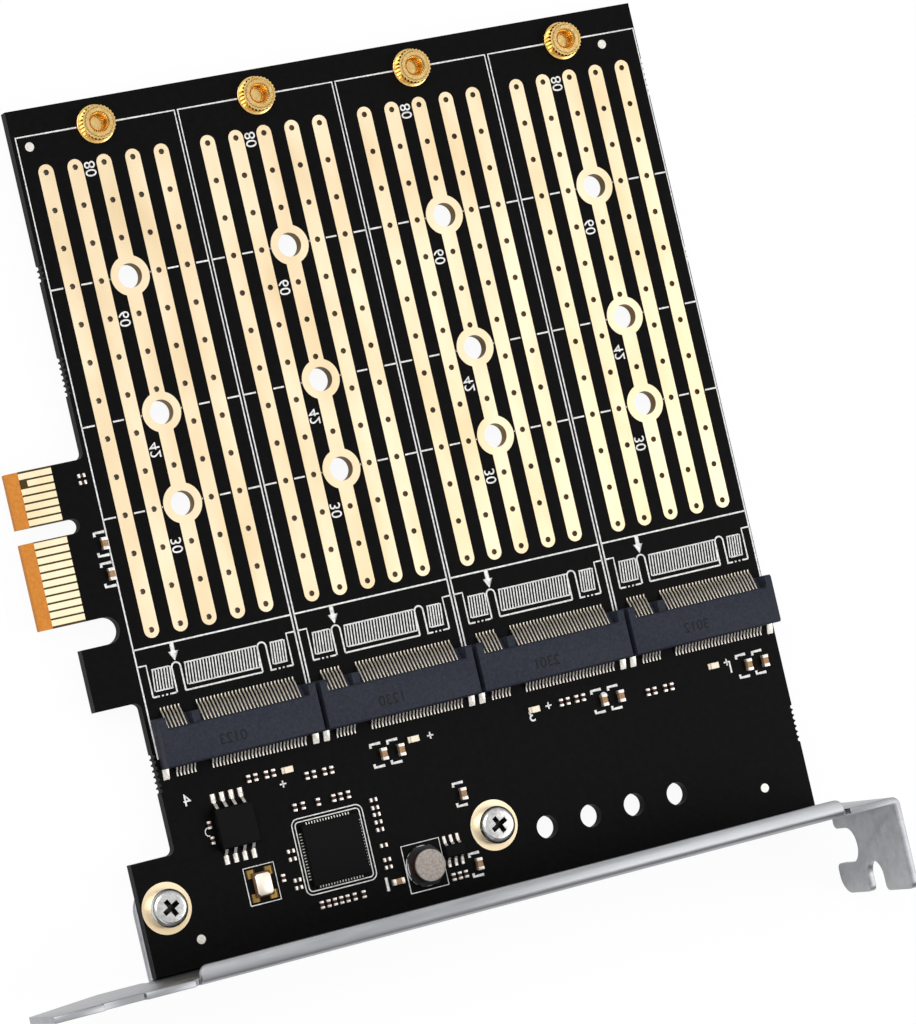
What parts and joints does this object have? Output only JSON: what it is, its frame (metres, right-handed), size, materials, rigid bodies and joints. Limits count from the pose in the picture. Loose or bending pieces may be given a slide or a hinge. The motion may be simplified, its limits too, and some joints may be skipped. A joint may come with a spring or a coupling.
{
  "type": "drive module adapter card",
  "caption": "Black expansion card with a keyed edge tongue, side-by-side drive module sockets with heat strips and standoffs, and a full-height steel slot bracket.",
  "frame": {"origin": "middle of the edge tongue's key notch, at the tongue's outer edge and half the board's thickness", "axes": "+X from the tongue's edge into the board; +Y from the bracket towards the far edge of the card; +Z out of the side that carries the parts"},
  "size_m": [0.1201, 0.1243, 0.0198],
  "materials": {
    "solder_mask": "satin",
    "gold_plating": "satin",
    "socket_plastic": "satin",
    "pin_metal": "satin",
    "brass": "satin",
    "bracket_steel": "satin",
    "screw_steel": "polished",
    "chip_plastic": "satin",
    "tinned_metal": "satin",
    "crystal_ceramic": "matte",
    "crystal_metal": "satin",
    "ferrite": "matte",
    "enamelled_wire": "satin",
    "chip_ceramic": "satin",
    "lamp_resin": "gloss"
  },
  "bodies": {
    "root": {"circuit_board": "solder_mask", "edge_contacts_front": "gold_plating", "edge_contacts_back": "gold_plating", "thermal_strips_1": "gold_plating", "socket_housing_1": "socket_plastic", "socket_pins_1": "pin_metal", "standoff_1": "brass", "thermal_strips_2": "gold_plating", "socket_housing_2": "socket_plastic", "socket_pins_2": "pin_metal", "standoff_2": "brass", "thermal_strips_3": "gold_plating", "socket_housing_3": "socket_plastic", "socket_pins_3": "pin_metal", "standoff_3": "brass", "thermal_strips_4": "gold_plating", "socket_housing_4": "socket_plastic", "socket_pins_4": "pin_metal", "standoff_4": "brass", "socket_hold_downs": "tinned_metal", "screw_lands": "gold_plating", "bracket": "bracket_steel", "bracket_screw_1": "screw_steel", "bracket_screw_2": "screw_steel", "controller_chip": "chip_plastic", "flash_chip": "chip_plastic", "flash_chip_leads": "tinned_metal", "regulator_chip": "chip_plastic", "regulator_chip_leads": "tinned_metal", "crystal_base": "crystal_ceramic", "crystal_lid": "crystal_metal", "inductor_core": "ferrite", "inductor_winding": "enamelled_wire", "capacitors": "chip_ceramic", "small_chip_parts": "chip_ceramic", "status_lamps": "lamp_resin"}
  },
  "joints": []
}
